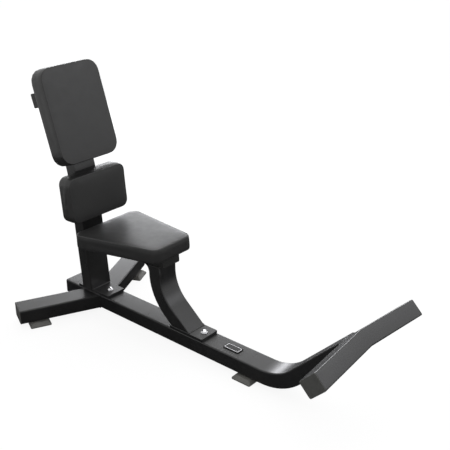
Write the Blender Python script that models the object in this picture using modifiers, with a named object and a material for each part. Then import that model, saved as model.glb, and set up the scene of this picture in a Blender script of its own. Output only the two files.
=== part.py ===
"""Upright training bench with two back cushions, a tapered seat and a raised foot bar.

Metres, +Z up. +X runs from the backrest to the foot bar and +Y to the sitter's left.
Lengths along X are measured from the front face of the upright at the height of the rail's top.
The finished bench is then moved so that the middle of its box lies over the origin.
"""

import math

import bmesh
import bpy
from mathutils import Matrix, Vector

# Clearances
GAP = 0.0003
HOLE_CLEARANCE = 0.0004
PLUG_CLEARANCE = 0.0004

# Floor rail: one rectangular tube, bent up in front
TUBE_WIDTH = 0.100
TUBE_HEIGHT = 0.065
TUBE_WALL = 0.003
TUBE_CORNER = 0.006
RAIL_REAR = 0.190
RAIL_TO_BEND = 0.971
RAIL_BEND_RADIUS = 0.230
RAIL_RISE_ANGLE = math.radians(45)
RAIL_RISE_LENGTH = 0.287

# Rear arms, of the same tube as the rail
ARM_FRONT = 0.0466
ARM_SWEEP = math.radians(25)
ARM_LENGTH = 0.3635

# Foot bar: two swept halves that meet on the end of the rail
BAR_DEPTH = 0.086
BAR_THICKNESS = 0.069
BAR_HALF_LENGTH = 0.316
BAR_SWEEP = math.radians(4.0)
BAR_LIFT = math.radians(1.7)
BAR_DROP = 0.003
BAR_CORNER = 0.006

# Plastic end caps
CAP_PLATE = 0.003
CAP_PLUG = 0.012
CAP_EDGE = 0.001

# Rubber feet and their screws
FOOT_HEIGHT = 0.020
FOOT_LIP = 0.006
FOOT_LENGTH = 0.093
FOOT_OVERHANG = 0.0235
FOOT_TAPER = 0.012
FOOT_CORNER = 0.006
FOOT_EDGE = 0.0008
FRONT_FOOT_TO_BEND = 0.081
ARM_FOOT_TO_END = 0.082
FOOT_SCREW_SPACING = 0.050
FOOT_SCREW_RECESS = 0.010
FOOT_SCREW_RECESS_MARGIN = 0.001
FOOT_SCREW_BITE = 0.012
FOOT_SCREW_HEAD_HEIGHT = 0.004

# Upright
UPRIGHT_WIDTH = 0.118
UPRIGHT_DEPTH = 0.061
UPRIGHT_CORNER = 0.006
UPRIGHT_LEAN = math.radians(5)
UPRIGHT_TO_KINK = 0.573
UPRIGHT_BEND_RADIUS = 0.272
BACK_ANGLE = math.radians(17.5)
UPRIGHT_ABOVE_BRACKET = 0.022

# Base flanges, which the upright and the seat post are welded to
FLANGE_THICKNESS = 0.012
FLANGE_CORNER = 0.004
UPRIGHT_FLANGE_TOE = 0.098
UPRIGHT_FLANGE_HEEL = 0.040
UPRIGHT_FLANGE_BOLT_INSET = 0.039
UPRIGHT_FLANGE_HEEL_BOLT_INSET = 0.019
SEAT_FLANGE_TOE = 0.072
SEAT_FLANGE_HEEL = 0.010
SEAT_FLANGE_BOLT_INSET = 0.030

# Seat post: the rail's tube, bent upright under the seat
SEAT_POST_CENTRE = 0.4015
SEAT_POST_BEND_RADIUS = 0.200
SEAT_POST_SLOPE = math.radians(50)
SEAT_POST_STRAIGHT = 0.040
GUSSET_RADIUS = 0.026
GUSSET_THICKNESS = 0.005

# Seat with its beam and plate
SEAT_UNDERSIDE = 0.3708
SEAT_TILT = math.radians(3.3)
SEAT_REAR = 0.050
SEAT_LENGTH = 0.428
SEAT_REAR_WIDTH = 0.371
SEAT_FRONT_WIDTH = 0.214
SEAT_CORNER = 0.036
SEAT_CUSHION = 0.048
BEAM_HEIGHT = 0.040
BEAM_PAST_POST = 0.016
SEAT_PLATE_THICKNESS = 0.004
SEAT_PLATE_SIDE = 0.028
SEAT_PLATE_REAR_INSET = 0.030
SEAT_PLATE_FRONT_INSET = 0.060
SEAT_SCREW_END_INSET = 0.030

# Back cushions and the boards behind and under the cushions
BACK_BOARD = 0.015
SEAT_BOARD = 0.012
BOARD_INSET = 0.0015
BACK_CUSHION = 0.054
LOWER_PAD_START = 0.375
LOWER_PAD_HEIGHT = 0.203
LOWER_PAD_WIDTH = 0.320
LOWER_PAD_CORNER = 0.034
LOWER_BOLT_SPACING = 0.090
UPPER_PAD_START = 0.042
UPPER_PAD_HEIGHT = 0.420
UPPER_PAD_WIDTH = 0.314
UPPER_PAD_CORNER = 0.056
UPPER_BOLT_TO_PAD_EDGE = 0.060
UPPER_BOLT_SPACING = 0.100

# Bracket wings behind the upper cushion
BRACKET_TO_PAD_EDGE = 0.298
BRACKET_HEIGHT = 0.062
BRACKET_DEPTH = 0.030
BRACKET_REACH = 0.150
BRACKET_WALL = 0.0025
BRACKET_CORNER = 0.005

# Cushion form
BACK_CROWN = 0.004
SEAT_CROWN = 0.005
CROWN_POWER = 3
LOWER_PAD_SWELL = 0.004
UPPER_PAD_SWELL = 0.001
SEAT_SWELL = 0.002
SIDE_DRAW_IN = 0.0015
REAR_ROUNDING = 0.002
EDGE_ROUNDING = 0.005

# Fasteners
FLANGE_BOLT = 0.012
FLANGE_BOLT_HEAD = 0.022
FLANGE_BOLT_HEAD_HEIGHT = 0.009
WASHER = 0.028
WASHER_THICKNESS = 0.0025
NUT_ACROSS_FLATS = 0.019
NUT_HEIGHT = 0.010
PAD_BOLT = 0.008
PAD_BOLT_HEAD = 0.014
PAD_BOLT_HEAD_HEIGHT = 0.005
PAD_BOLT_BITE = 0.008

# Badge, left bare
BADGE_LENGTH = 0.080
BADGE_WIDTH = 0.040
BADGE_HEIGHT = 0.003
BADGE_CORNER = 0.006
BADGE_RIM = 0.004
BADGE_EDGE = 0.0008
BADGE_FROM_FLANGE = 0.088

# Mesh fineness
CORNER_STEPS = 3
BEND_STEPS = 10
ROUND_STEPS = 14
DOME_STEPS = 3
CUSHION_CORNER_STEPS = 4
CUSHION_SIDE_STEPS = 3
CROWN_RINGS = (0.85, 0.60, 0.30)

# Cutters reach this many times the size of what they cut through
THROUGH = 3

# Heights that follow from the sizes above
RAIL_TOP = FOOT_HEIGHT + TUBE_HEIGHT
RAIL_MIDDLE = FOOT_HEIGHT + TUBE_HEIGHT / 2
FLANGE_TOP = RAIL_TOP + GAP + FLANGE_THICKNESS
BEAM_TOP = -SEAT_PLATE_THICKNESS - 2 * GAP
BEAM_UNDERSIDE = BEAM_TOP - BEAM_HEIGHT
LONGEST_REACH = RAIL_REAR + RAIL_TO_BEND + RAIL_BEND_RADIUS + RAIL_RISE_LENGTH


# Scene, materials and objects

def clear_scene():
    """Remove every object, so that the script can be run again."""
    for item in list(bpy.data.objects):
        bpy.data.objects.remove(item, do_unlink=True)
    for group in list(bpy.data.collections):
        bpy.data.collections.remove(group)


def make_collection(name):
    group = bpy.data.collections.new(name)
    bpy.context.scene.collection.children.link(group)
    return group


def make_material(name, colour, roughness, metallic):
    material = bpy.data.materials.new(name)
    material.use_nodes = True
    shader = material.node_tree.nodes["Principled BSDF"]
    shader.inputs["Base Color"].default_value = (*colour, 1.0)
    shader.inputs["Roughness"].default_value = roughness
    shader.inputs["Metallic"].default_value = metallic
    material.diffuse_color = (*colour, 1.0)
    return material


clear_scene()
PARTS = make_collection("upright_bench")
CUTTERS = make_collection("cutters")
FRAME = bpy.data.objects.new("bench_frame", None)
PARTS.objects.link(FRAME)

PAINT = make_material("black_gloss_paint", (0.010, 0.010, 0.011), 0.28, 0.0)
LEATHER = make_material("black_leatherette", (0.028, 0.028, 0.029), 0.45, 0.0)
BOARD = make_material("black_board", (0.012, 0.012, 0.012), 0.70, 0.0)
CAP_PLASTIC = make_material("cap_plastic", (0.030, 0.030, 0.028), 0.55, 0.0)
RUBBER = make_material("foot_rubber", (0.055, 0.053, 0.050), 0.75, 0.0)
CHROME = make_material("chrome", (0.80, 0.80, 0.82), 0.12, 1.0)
ZINC = make_material("zinc_steel", (0.50, 0.50, 0.51), 0.35, 1.0)
BADGE = make_material("badge_metal", (0.35, 0.35, 0.36), 0.22, 1.0)


def place(item, matrix):
    """Put an object in its place in the bench's frame."""
    item.matrix_basis = matrix
    item.parent = FRAME


def add_part(name, mesh, material, matrix=Matrix()):
    """A named sub-part, at the place that the matrix gives."""
    mesh.materials.clear()
    mesh.materials.append(material)
    mesh.shade_smooth()
    mesh.set_sharp_from_angle(angle=math.radians(35))
    part = bpy.data.objects.new(name, mesh)
    PARTS.objects.link(part)
    place(part, matrix)
    return part


def add_copies(name, mesh, matrices, material):
    """Equal pieces, numbered, that share one mesh."""
    for number, matrix in enumerate(matrices, 1):
        add_part(f"{name}_{number}", mesh, material, matrix)


def add_cutter(name, mesh, matrix=Matrix()):
    """A hidden tool for Boolean modifiers."""
    cutter = bpy.data.objects.new(name, mesh)
    CUTTERS.objects.link(cutter)
    cutter.hide_render = True
    cutter.display_type = "WIRE"
    place(cutter, matrix)
    return cutter


def cut(part, cutter):
    modifier = part.modifiers.new(cutter.name, "BOOLEAN")
    modifier.operation = "DIFFERENCE"
    modifier.solver = "EXACT"
    modifier.object = cutter


def add_wall(part, thickness):
    """Give an open skin a wall that grows inwards."""
    modifier = part.modifiers.new("wall", "SOLIDIFY")
    modifier.thickness = thickness
    modifier.offset = -1
    modifier.use_even_offset = True


# Outlines

def rounded_outline(corners, radius, steps, side_steps=1, draw_in=0.0):
    """Points round a convex outline with rounded corners, given anticlockwise.

    Its sides can be divided, and drawn in between the corners.
    """
    arcs = []
    for index, corner in enumerate(corners):
        here = Vector(corner)
        to_last = (Vector(corners[index - 1]) - here).normalized()
        to_next = (Vector(corners[(index + 1) % len(corners)]) - here).normalized()
        half_angle = to_last.angle(to_next) / 2
        centre = here + (to_last + to_next).normalized() * radius / math.sin(half_angle)
        first = here + to_last * radius / math.tan(half_angle) - centre
        start = math.atan2(first.y, first.x)
        turn = math.pi - 2 * half_angle
        arcs.append([centre + polar(radius, start + turn * step / steps) for step in range(steps + 1)])
    points = []
    for index, arc in enumerate(arcs):
        points += arc
        end, start = arc[-1], arcs[(index + 1) % len(arcs)][0]
        inward = polar(1, math.atan2(start.y - end.y, start.x - end.x) + math.pi / 2)
        for step in range(1, side_steps):
            share = step / side_steps
            bow = 4 * share * (1 - share)
            points.append(end.lerp(start, share) + inward * draw_in * bow)
    return points


def polar(radius, angle):
    return Vector((radius * math.cos(angle), radius * math.sin(angle)))


def rectangle(width, height):
    """Corners of a centred rectangle, anticlockwise."""
    x, y = width / 2, height / 2
    return [(-x, -y), (x, -y), (x, y), (-x, y)]


def rounded_rectangle(width, height, corner):
    return rounded_outline(rectangle(width, height), corner, CORNER_STEPS)


def circle(diameter, steps=ROUND_STEPS, centre=(0.0, 0.0)):
    return [Vector(centre) + polar(diameter / 2, 2 * math.pi * step / steps) for step in range(steps)]


# Mesh builders

def mesh_from(bm, name):
    """A mesh with its faces pointing out."""
    bmesh.ops.recalc_face_normals(bm, faces=bm.faces)
    mesh = bpy.data.meshes.new(name)
    bm.to_mesh(mesh)
    bm.free()
    return mesh


def flat_curve(name, outlines, closed=True):
    """A flat curve object through lists of points."""
    curve = bpy.data.curves.new(name, "CURVE")
    curve.dimensions = "2D"
    for outline in outlines:
        spline = curve.splines.new("POLY")
        spline.points.add(len(outline) - 1)
        for point, (x, y) in zip(spline.points, outline):
            point.co = (x, y, 0, 1)
        spline.use_cyclic_u = closed
    item = bpy.data.objects.new(name, curve)
    CUTTERS.objects.link(item)
    return item


def finished_mesh(item):
    """The mesh that a curve or a modifier gives, welded, in place of its object."""
    graph = bpy.context.evaluated_depsgraph_get()
    mesh = bpy.data.meshes.new_from_object(item.evaluated_get(graph))
    bm = bmesh.new()
    bm.from_mesh(mesh)
    bmesh.ops.remove_doubles(bm, verts=bm.verts, dist=0.00001)
    name = item.name
    bpy.data.meshes.remove(mesh)
    bpy.data.objects.remove(item)
    return mesh_from(bm, name)


def flat_piece(name, outlines, thickness):
    """A plate from z = 0 up; outlines after the first are holes."""
    plate = flat_curve(name, outlines)
    plate.data.fill_mode = "BOTH"
    plate.data.extrude = thickness / 2
    mesh = finished_mesh(plate)
    mesh.transform(Matrix.Translation((0, 0, thickness / 2)))
    return mesh


def stretched_rings(rings, closed):
    """Extrude the first ring of points through the others; closed fills both ends."""
    bm = bmesh.new()
    verts = [bm.verts.new(point) for point in rings[0]]
    edges = [bm.edges.new((vert, verts[i - 1])) for i, vert in enumerate(verts)]
    ends = [edges]
    for points in rings[1:]:
        stretched = bmesh.ops.extrude_edge_only(bm, edges=edges)["geom"]
        edges = [item for item in stretched if isinstance(item, bmesh.types.BMEdge)]
        verts = [item for item in stretched if isinstance(item, bmesh.types.BMVert)]
        for vert, point in zip(verts, points):
            vert.co = point
    ends.append(edges)
    if closed:
        for ring in ends:
            bmesh.ops.edgeloop_fill(bm, edges=ring)
    return bm


def stacked_piece(name, levels):
    """A solid through (height, width, depth, corner radius) levels."""
    rings = []
    for height, width, depth, corner in levels:
        rings.append([(x, y, height) for x, y in rounded_rectangle(width, depth, corner)])
    return mesh_from(stretched_rings(rings, closed=True), name)


def turned_piece(name, profile):
    """A turned solid from (radius, height) points that run from top to bottom."""
    mesh = bpy.data.meshes.new(name)
    points = [(radius, 0, height) for radius, height in profile]
    mesh.from_pydata(points, [(i, i + 1) for i in range(len(points) - 1)], [])
    item = bpy.data.objects.new(name, mesh)
    CUTTERS.objects.link(item)
    screw = item.modifiers.new("turn", "SCREW")
    screw.steps = ROUND_STEPS
    screw.render_steps = ROUND_STEPS
    screw.use_merge_vertices = True
    screw.merge_threshold = 0.00001
    return finished_mesh(item)


def box_cutter(name, low, high, matrix=Matrix()):
    bm = bmesh.new()
    bmesh.ops.create_cube(bm, size=1)
    bmesh.ops.scale(bm, verts=bm.verts, vec=[b - a for a, b in zip(low, high)])
    bmesh.ops.translate(bm, verts=bm.verts, vec=[(a + b) / 2 for a, b in zip(low, high)])
    return add_cutter(name, mesh_from(bm, name), matrix)


def drill(part, diameter, length, matrices):
    """Drill a round hole at each matrix, along its Z and centred on it."""
    bm = bmesh.new()
    for matrix in matrices:
        bmesh.ops.create_cone(bm, cap_ends=True, segments=ROUND_STEPS, radius1=diameter / 2,
                              radius2=diameter / 2, depth=length, matrix=matrix)
    name = f"{part.name}_drill_{len(part.modifiers)}"
    cut(part, add_cutter(name, mesh_from(bm, name)))


# Bent tubes and their caps

def trace_path(start, heading, moves):
    """Points and headings along straight runs and arcs in an upright plane.

    A move is a (length, 0) run or a (radius, turn) arc, and a positive turn goes from +X to +Z.
    """
    here = Vector(start)
    path = [(here.copy(), heading)]
    for size, turn in moves:
        if turn == 0:
            here = here + polar(size, heading)
            path.append((here.copy(), heading))
            continue
        side = math.copysign(math.pi / 2, turn)
        centre = here + polar(size, heading + side)
        for step in range(1, BEND_STEPS + 1):
            angle = heading + turn * step / BEND_STEPS
            path.append((centre - polar(size, angle + side), angle))
        heading += turn
        here = path[-1][0].copy()
    return path


def rectangular_tube(name, path, width, depth, corner, wall, matrix=Matrix()):
    """A painted tube with open ends, along a path in the XZ plane, its width along Y."""
    section = flat_curve("section", [rounded_rectangle(depth, width, corner)])
    guide = flat_curve(name, [[point for point, heading in path]], closed=False)
    guide.data.fill_mode = "NONE"
    guide.data.bevel_mode = "OBJECT"
    guide.data.bevel_object = section
    mesh = finished_mesh(guide)
    bpy.data.objects.remove(section)
    mesh.transform(Matrix.Rotation(math.pi / 2, 4, "X"))
    tube = add_part(name, mesh, PAINT, matrix)
    add_wall(tube, wall)
    return tube


def path_end(point, heading):
    """Frame on a path: Z along it, X along the tube's width."""
    along = Vector((math.cos(heading), 0, math.sin(heading)))
    across = Vector((0, 1, 0))
    return frame_of(across, along.cross(across), along, (point.x, 0, point.y))


def frame_of(x_axis, y_axis, z_axis, origin):
    matrix = Matrix((x_axis, y_axis, z_axis)).transposed().to_4x4()
    matrix.translation = origin
    return matrix


def cap_mesh(name, width, depth, corner, wall):
    """A cap for a tube's end at z = 0: a plate outside and a plug inside."""
    inner = 2 * (wall + PLUG_CLEARANCE)
    plug_width, plug_depth = width - inner, depth - inner
    plug_corner = corner - wall
    top = GAP + CAP_PLATE
    levels = [
        (-CAP_PLUG, plug_width - 2 * CAP_EDGE, plug_depth - 2 * CAP_EDGE, plug_corner),
        (GAP, plug_width, plug_depth, plug_corner),
        (GAP, width, depth, corner),
        (top - CAP_EDGE, width, depth, corner),
        (top, width - 2 * CAP_EDGE, depth - 2 * CAP_EDGE, corner),
    ]
    return stacked_piece(name, levels)


def tube_cap(name, matrix, width=TUBE_WIDTH, depth=TUBE_HEIGHT, corner=TUBE_CORNER, wall=TUBE_WALL):
    add_part(name, cap_mesh(name, width, depth, corner, wall), CAP_PLASTIC, matrix)


# Fasteners

def bolt_mesh(name, diameter, head, head_height, length):
    """A domed bolt: the underside of its head at z = 0, its shank along -Z."""
    angles = [math.pi / 2 * (1 - step / DOME_STEPS) for step in range(DOME_STEPS + 1)]
    profile = [(head / 2 * math.cos(a), head_height * math.sin(a)) for a in angles]
    profile[0] = (0, head_height)
    profile += [(diameter / 2, 0), (diameter / 2, -length), (0, -length)]
    return turned_piece(name, profile)


def upward(x, y, z):
    return Matrix.Translation((x, y, z))


def downward(x, y, z):
    return Matrix.Translation((x, y, z)) @ Matrix.Rotation(math.pi, 4, "X")


# Foot rail

def rail_path():
    moves = [(RAIL_REAR + RAIL_TO_BEND, 0), (RAIL_BEND_RADIUS, RAIL_RISE_ANGLE), (RAIL_RISE_LENGTH, 0)]
    return trace_path((-RAIL_REAR, RAIL_MIDDLE), 0, moves)


def make_rail():
    path = rail_path()
    end, heading = path[-1]
    path[-1] = (end + polar(TUBE_HEIGHT, heading), heading)
    rail = rectangular_tube("main_rail", path, TUBE_WIDTH, TUBE_HEIGHT, TUBE_CORNER, TUBE_WALL)
    cut(rail, bar_space_cutter())
    drill(rail, FLANGE_BOLT + 2 * HOLE_CLEARANCE, 2 * TUBE_HEIGHT,
          [upward(x, 0, RAIL_MIDDLE) for x in flange_bolt_places()])
    drill(rail, PAD_BOLT + 2 * HOLE_CLEARANCE, FOOT_HEIGHT, foot_screw_holes(front_foot_place()))
    tube_cap("rail_rear_cap", path_end(path[0][0], math.pi))


# Foot bar

def bar_place(side):
    """Skewed frame of one half of the bar: X up the rise, Y down from its top, Z out along the half."""
    end, heading = rail_path()[-1]
    along = Vector((math.cos(heading), 0, math.sin(heading)))
    under = Vector((math.sin(heading), 0, -math.cos(heading)))
    slope = Vector((0, side, 0)) + along * math.tan(BAR_LIFT) + under * math.tan(BAR_SWEEP)
    middle = Vector((end.x, 0, end.y)) + along * BAR_DEPTH / 2 + under * BAR_DROP
    return frame_of(along, under, slope, middle)


def bar_space_cutter():
    """The bar's depth with its clearance, taller than the rail, which it trims."""
    corners = rectangle(BAR_DEPTH + 2 * GAP, THROUGH * TUBE_HEIGHT)
    rings = []
    for side, length in ((-1, BAR_HALF_LENGTH), (1, 0), (1, BAR_HALF_LENGTH)):
        rings.append([bar_place(side) @ Vector((x, y, length)) for x, y in corners])
    return add_cutter("bar_space", mesh_from(stretched_rings(rings, closed=True), "bar_space"))


def make_foot_bar():
    outline = rounded_rectangle(BAR_DEPTH, BAR_THICKNESS, BAR_CORNER)
    rings = [[bar_place(1) @ Vector((x, y, z)) for x, y in outline] for z in (0, BAR_HALF_LENGTH)]
    mesh = mesh_from(stretched_rings(rings, closed=False), "footrest_bar")
    bar = add_part("footrest_bar", mesh, PAINT)
    mirror = bar.modifiers.new("both halves", "MIRROR")
    mirror.use_axis = (False, True, False)
    mirror.merge_threshold = 0.00005
    add_wall(bar, TUBE_WALL)
    for name, side in (("left_footrest_cap", 1), ("right_footrest_cap", -1)):
        cap = cap_mesh(name, BAR_DEPTH, BAR_THICKNESS, BAR_CORNER, TUBE_WALL)
        cap.transform(bar_place(side) @ upward(0, 0, BAR_HALF_LENGTH))
        if side < 0:
            cap.flip_normals()
        add_part(name, cap, CAP_PLASTIC)


# Rear arms

def arm_place(side):
    """Frame at the start of an arm's middle line on the floor: X out along the arm."""
    turn = Matrix.Rotation(side * (math.pi / 2 + ARM_SWEEP), 4, "Z")
    corner = Matrix.Translation((ARM_FRONT, side * TUBE_WIDTH / 2, 0))
    return corner @ turn @ Matrix.Translation((0, side * TUBE_WIDTH / 2, 0))


def make_arm(prefix, side):
    path = trace_path((-TUBE_HEIGHT / 4, RAIL_MIDDLE), 0, [(TUBE_HEIGHT / 4 + ARM_LENGTH, 0)])
    arm = rectangular_tube(prefix + "_rear_arm", path, TUBE_WIDTH, TUBE_HEIGHT, TUBE_CORNER,
                           TUBE_WALL, arm_place(side))
    inner, outer = sorted((side * (TUBE_WIDTH / 2 + GAP), -side * TUBE_WIDTH))
    cut(arm, box_cutter(prefix + "_rail_space", (-LONGEST_REACH, inner, 0),
                        (LONGEST_REACH, outer, 2 * RAIL_TOP)))
    drill(arm, PAD_BOLT + 2 * HOLE_CLEARANCE, FOOT_HEIGHT, foot_screw_holes(arm_foot_place(side)))
    tube_cap(prefix + "_arm_cap", arm_place(side) @ path_end(*path[-1]))


# Feet

def front_foot_place():
    return Matrix.Translation((RAIL_TO_BEND - FRONT_FOOT_TO_BEND, 0, 0))


def arm_foot_place(side):
    return arm_place(side) @ Matrix.Translation((ARM_LENGTH - ARM_FOOT_TO_END, 0, 0))


def foot_screw_spots(foot, height):
    """Screw places under one foot, at a height above the floor."""
    return [foot @ upward(x, 0, height) for x in (-FOOT_SCREW_SPACING / 2, FOOT_SCREW_SPACING / 2)]


def foot_screw_holes(foot):
    """Places of the screw holes in the tube's lower wall."""
    return foot_screw_spots(foot, FOOT_HEIGHT)


def make_foot(name, matrix):
    wide = TUBE_WIDTH + 2 * FOOT_OVERHANG
    levels = [
        (0, FOOT_LENGTH - 2 * FOOT_EDGE, wide - 2 * FOOT_EDGE, FOOT_CORNER),
        (FOOT_EDGE, FOOT_LENGTH, wide, FOOT_CORNER),
        (FOOT_LIP, FOOT_LENGTH, wide, FOOT_CORNER),
        (FOOT_HEIGHT - GAP, FOOT_LENGTH - 2 * FOOT_TAPER, wide - 2 * FOOT_TAPER, FOOT_CORNER),
    ]
    foot = add_part(name, stacked_piece(name, levels), RUBBER, matrix)
    drill(foot, PAD_BOLT_HEAD + 2 * FOOT_SCREW_RECESS_MARGIN, 2 * FOOT_SCREW_RECESS,
          foot_screw_spots(matrix, 0))
    drill(foot, PAD_BOLT + 2 * HOLE_CLEARANCE, THROUGH * FOOT_HEIGHT,
          foot_screw_spots(matrix, 0))


def make_feet():
    feet = (("front_foot", front_foot_place()), ("left_rear_foot", arm_foot_place(1)),
            ("right_rear_foot", arm_foot_place(-1)))
    turned_over = Matrix.Rotation(math.pi, 4, "X")
    length = FOOT_HEIGHT - FOOT_SCREW_RECESS + FOOT_SCREW_BITE
    for name, matrix in feet:
        make_foot(name, matrix)
        screw = bolt_mesh(name + "_screw", PAD_BOLT, PAD_BOLT_HEAD, FOOT_SCREW_HEAD_HEIGHT, length)
        spots = foot_screw_spots(matrix, FOOT_SCREW_RECESS - GAP)
        add_copies(name + "_screw", screw, [spot @ turned_over for spot in spots], ZINC)


# Flanges and the bolts through them

def upright_flange_span():
    """Rear and front ends of the upright's flange."""
    return -UPRIGHT_DEPTH / math.cos(UPRIGHT_LEAN) - UPRIGHT_FLANGE_HEEL, UPRIGHT_FLANGE_TOE


def seat_flange_span():
    """Rear and front ends of the seat post's flange."""
    end, heading = seat_post_path()[-1]
    half = TUBE_HEIGHT / 2 / math.cos(SEAT_POST_SLOPE)
    at_top = end.x - (FLANGE_TOP - RAIL_TOP) * math.tan(SEAT_POST_SLOPE)
    return at_top - half - SEAT_FLANGE_HEEL, at_top + half + SEAT_FLANGE_TOE


def flange_bolt_places():
    """Lengthwise places of the bolts behind and before the upright, and before the seat post."""
    rear, front = upright_flange_span()
    post_front = seat_flange_span()[1]
    return [rear + UPRIGHT_FLANGE_HEEL_BOLT_INSET, front - UPRIGHT_FLANGE_BOLT_INSET,
            post_front - SEAT_FLANGE_BOLT_INSET]


def make_flange(name, span, bolts):
    middle = sum(span) / 2
    outline = rounded_rectangle(span[1] - span[0], TUBE_WIDTH, FLANGE_CORNER)
    holes = [circle(FLANGE_BOLT + 2 * HOLE_CLEARANCE, centre=(x - middle, 0)) for x in bolts]
    plate = flat_piece(name, [outline] + holes, FLANGE_THICKNESS)
    add_part(name, plate, PAINT, upward(middle, 0, RAIL_TOP + GAP))


def make_flanges():
    places = flange_bolt_places()
    make_flange("upright_flange", upright_flange_span(), places[:2])
    make_flange("seat_post_flange", seat_flange_span(), places[2:])
    hole = circle(FLANGE_BOLT + 2 * HOLE_CLEARANCE)
    washer = flat_piece("flange_washer", [circle(WASHER), hole], WASHER_THICKNESS)
    nut = flat_piece("flange_nut", [circle(NUT_ACROSS_FLATS / math.cos(math.pi / 6), 6), hole],
                     NUT_HEIGHT)
    head_level = FLANGE_TOP + 2 * GAP + WASHER_THICKNESS
    nut_level = FOOT_HEIGHT - GAP - NUT_HEIGHT
    bolt = bolt_mesh("flange_bolt", FLANGE_BOLT, FLANGE_BOLT_HEAD, FLANGE_BOLT_HEAD_HEIGHT,
                     head_level - nut_level)
    add_copies("flange_washer", washer, [upward(x, 0, FLANGE_TOP + GAP) for x in places], CHROME)
    add_copies("flange_nut", nut, [upward(x, 0, nut_level) for x in places], ZINC)
    add_copies("flange_bolt", bolt, [upward(x, 0, head_level) for x in places], CHROME)


# Upright

def upright_path():
    """Middle line of the upright, from the height of the rail's top to its upper end."""
    turn = BACK_ANGLE - UPRIGHT_LEAN
    half = UPRIGHT_DEPTH / 2
    to_bend = UPRIGHT_BEND_RADIUS * math.tan(turn / 2)
    at_kink = half * math.tan(turn / 2)
    lower = UPRIGHT_TO_KINK - half * math.tan(UPRIGHT_LEAN) - at_kink - to_bend
    upper = UPPER_PAD_START + BRACKET_TO_PAD_EDGE + BRACKET_HEIGHT / 2 + UPRIGHT_ABOVE_BRACKET
    moves = [(lower, 0), (UPRIGHT_BEND_RADIUS, turn), (upper - at_kink - to_bend, 0)]
    return trace_path((-half / math.cos(UPRIGHT_LEAN), RAIL_TOP), math.pi / 2 + UPRIGHT_LEAN, moves)


def leaning_face(origin, lean):
    """Frame on the upright's front face: Z out of it, Y up along it, X to the sitter's left."""
    up = Vector((-math.sin(lean), 0, math.cos(lean)))
    out = Vector((math.cos(lean), 0, math.sin(lean)))
    return frame_of(up.cross(out), up, out, origin)


def lower_face():
    """The lower straight face, from the height of the rail's top."""
    return leaning_face((0, 0, RAIL_TOP), UPRIGHT_LEAN)


def upper_face():
    """The upper straight face, from the kink where both straight faces would meet."""
    return leaning_face(lower_face() @ Vector((0, UPRIGHT_TO_KINK, 0)), BACK_ANGLE)


def make_upright():
    path = upright_path()
    upright = rectangular_tube("upright_post", path, UPRIGHT_WIDTH, UPRIGHT_DEPTH, UPRIGHT_CORNER,
                               TUBE_WALL)
    cut(upright, box_cutter("below_upright", (-LONGEST_REACH, -UPRIGHT_WIDTH, 0),
                            (LONGEST_REACH, UPRIGHT_WIDTH, FLANGE_TOP + GAP)))
    drill(upright, PAD_BOLT + 2 * HOLE_CLEARANCE, THROUGH * UPRIGHT_DEPTH,
          lower_bolt_places() + upper_bolt_places())
    tube_cap("upright_top_cap", path_end(*path[-1]), UPRIGHT_WIDTH, UPRIGHT_DEPTH, UPRIGHT_CORNER)


# Seat post, beam and gusset

def seat_place():
    """Frame of the seat's underside: X forward along the seat, Z out of it."""
    return Matrix.Translation((0, 0, SEAT_UNDERSIDE)) @ Matrix.Rotation(-SEAT_TILT, 4, "Y")


def beam_underside_at(x):
    """Height of the beam's underside over a place along the bench."""
    return SEAT_UNDERSIDE + x * math.tan(SEAT_TILT) + BEAM_UNDERSIDE / math.cos(SEAT_TILT)


def seat_post_path():
    """Middle line of the seat post, from inside the beam down to the rail's top."""
    head = beam_underside_at(SEAT_POST_CENTRE)
    top = head + BEAM_HEIGHT / 2
    bend_start = head - SEAT_POST_STRAIGHT
    bend_end = bend_start - SEAT_POST_BEND_RADIUS * math.sin(SEAT_POST_SLOPE)
    slant = (bend_end - RAIL_TOP) / math.cos(SEAT_POST_SLOPE)
    moves = [(top - bend_start, 0), (SEAT_POST_BEND_RADIUS, SEAT_POST_SLOPE), (slant, 0)]
    return trace_path((SEAT_POST_CENTRE, top), -math.pi / 2, moves)


def make_seat_post():
    path = seat_post_path()
    end, heading = path[-1]
    path[-1] = (end + polar(TUBE_HEIGHT, heading), heading)
    post = rectangular_tube("seat_post", path, TUBE_WIDTH, TUBE_HEIGHT, TUBE_CORNER, TUBE_WALL)
    cut(post, box_cutter("above_post", (0, -TUBE_WIDTH, BEAM_UNDERSIDE - GAP),
                         (LONGEST_REACH, TUBE_WIDTH, BEAM_HEIGHT), seat_place()))
    cut(post, box_cutter("below_post", (0, -TUBE_WIDTH, -TUBE_HEIGHT),
                         (LONGEST_REACH, TUBE_WIDTH, FLANGE_TOP + GAP)))


def make_gusset():
    """A bent strip in the corner between the post's rear face and the beam's underside."""
    rear = SEAT_POST_CENTRE - TUBE_HEIGHT / 2 - GAP
    outer = GUSSET_RADIUS + GUSSET_THICKNESS
    level = beam_underside_at(rear) - (GAP + outer * (1 + math.sin(SEAT_TILT))) / math.cos(SEAT_TILT)
    centre = Vector((rear - outer, level))
    angles = [(math.pi / 2 + SEAT_TILT) * step / BEND_STEPS for step in range(BEND_STEPS + 1)]
    outline = [centre + polar(outer, a) for a in angles]
    outline += [centre + polar(GUSSET_RADIUS, a) for a in reversed(angles)]
    strip = flat_piece("seat_post_gusset", [outline], TUBE_WIDTH - 2 * TUBE_CORNER)
    upright = upward(0, TUBE_WIDTH / 2 - TUBE_CORNER, 0) @ Matrix.Rotation(math.pi / 2, 4, "X")
    add_part("seat_post_gusset", strip, PAINT, upright)


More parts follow.
